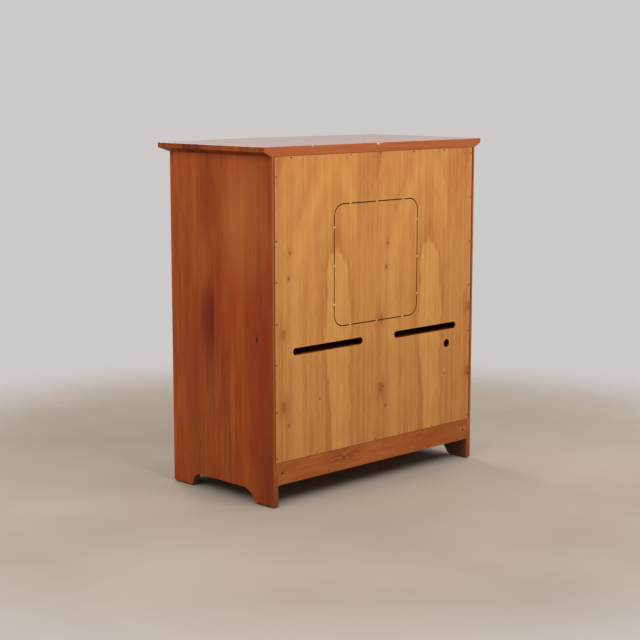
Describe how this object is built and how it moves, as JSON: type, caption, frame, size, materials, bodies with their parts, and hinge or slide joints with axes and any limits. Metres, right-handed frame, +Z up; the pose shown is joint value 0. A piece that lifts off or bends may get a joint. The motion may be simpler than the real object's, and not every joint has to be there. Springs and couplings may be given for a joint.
{
  "type": "television cabinet",
  "caption": "Wooden television cabinet with a bowed front, framed doors over a pair of drawers, bracket feet and a plywood back cut for cords.",
  "frame": {"origin": "middle of the cabinet's bounding box, on the floor under the glides", "axes": "+Z up, +Y towards the plywood back, +X across the width, to the left as the back is looked at"},
  "size_m": [1.048, 0.5709, 1.168],
  "materials": {
    "stained_wood": "dark red-brown stain under a satin lacquer",
    "apron_wood": "lighter red-brown stain, satin",
    "back_plywood": "honey-coloured veneer with open vertical grain, satin",
    "inner_wood": "clear lacquer",
    "hinge_brass": "dull brass",
    "fastener_steel": "plain steel",
    "glide_plastic": "matte",
    "catch_plastic": "matte"
  },
  "bodies": {
    "cabinet": {"top": "stained_wood", "side_right": "stained_wood", "side_left": "stained_wood", "bottom_board": "inner_wood", "drawer_deck": "stained_wood", "tv_shelf": "stained_wood", "shelf_cleat_right": "stained_wood", "shelf_cleat_left": "stained_wood", "back_panel": "back_plywood", "panel_nails": "fastener_steel", "rear_apron": "apron_wood", "rear_top_rail": "stained_wood", "corner_blocks": "inner_wood", "foot_glides": "glide_plastic", "apron_screws": "fastener_steel", "top_screws": "fastener_steel", "frame_stile_right": "stained_wood", "frame_stile_left": "stained_wood", "frame_top_rail": "stained_wood", "frame_middle_rail": "stained_wood", "drawer_mullion": "stained_wood", "front_apron": "stained_wood", "drawer_partition": "inner_wood", "outer_drawer_guides": "inner_wood", "centre_drawer_guides": "inner_wood", "door_catches": "catch_plastic", "door_right_hinge_frame_leaves": "hinge_brass", "door_right_hinge_pins": "hinge_brass", "door_left_hinge_frame_leaves": "hinge_brass", "door_left_hinge_pins": "hinge_brass"},
    "door_right": {"door_right_stile_outer": "stained_wood", "door_right_stile_inner": "stained_wood", "door_right_rail_top": "stained_wood", "door_right_rail_bottom": "stained_wood", "door_right_panel": "stained_wood", "door_right_catch_plate": "fastener_steel", "door_right_knob": "stained_wood", "door_right_hinge_door_leaves": "hinge_brass"},
    "door_left": {"door_left_stile_outer": "stained_wood", "door_left_stile_inner": "stained_wood", "door_left_rail_top": "stained_wood", "door_left_rail_bottom": "stained_wood", "door_left_panel": "stained_wood", "door_left_catch_plate": "fastener_steel", "door_left_knob": "stained_wood", "door_left_hinge_door_leaves": "hinge_brass"},
    "drawer_right": {"drawer_right_front": "stained_wood", "drawer_right_side_inner": "inner_wood", "drawer_right_side_outer": "inner_wood", "drawer_right_back": "inner_wood", "drawer_right_bottom": "inner_wood", "drawer_right_knob": "stained_wood"},
    "drawer_left": {"drawer_left_front": "stained_wood", "drawer_left_side_inner": "inner_wood", "drawer_left_side_outer": "inner_wood", "drawer_left_back": "inner_wood", "drawer_left_bottom": "inner_wood", "drawer_left_knob": "stained_wood"}
  },
  "joints": [
    {"name": "door_right_hinge", "type": "hinge", "parent": "cabinet", "child": "door_right", "pos_m": [0.446, -0.23029, 0.6], "axis": [0, 0, 1], "range_deg": [0, 170]},
    {"name": "door_left_hinge", "type": "hinge", "parent": "cabinet", "child": "door_left", "pos_m": [-0.446, -0.23029, 0.6], "axis": [0, 0, -1], "range_deg": [0, 170]},
    {"name": "drawer_right_slide", "type": "slide", "parent": "cabinet", "child": "drawer_right", "axis": [0, -1, 0], "range_m": [0, 0.33]},
    {"name": "drawer_left_slide", "type": "slide", "parent": "cabinet", "child": "drawer_left", "axis": [0, -1, 0], "range_m": [0, 0.33]}
  ]
}
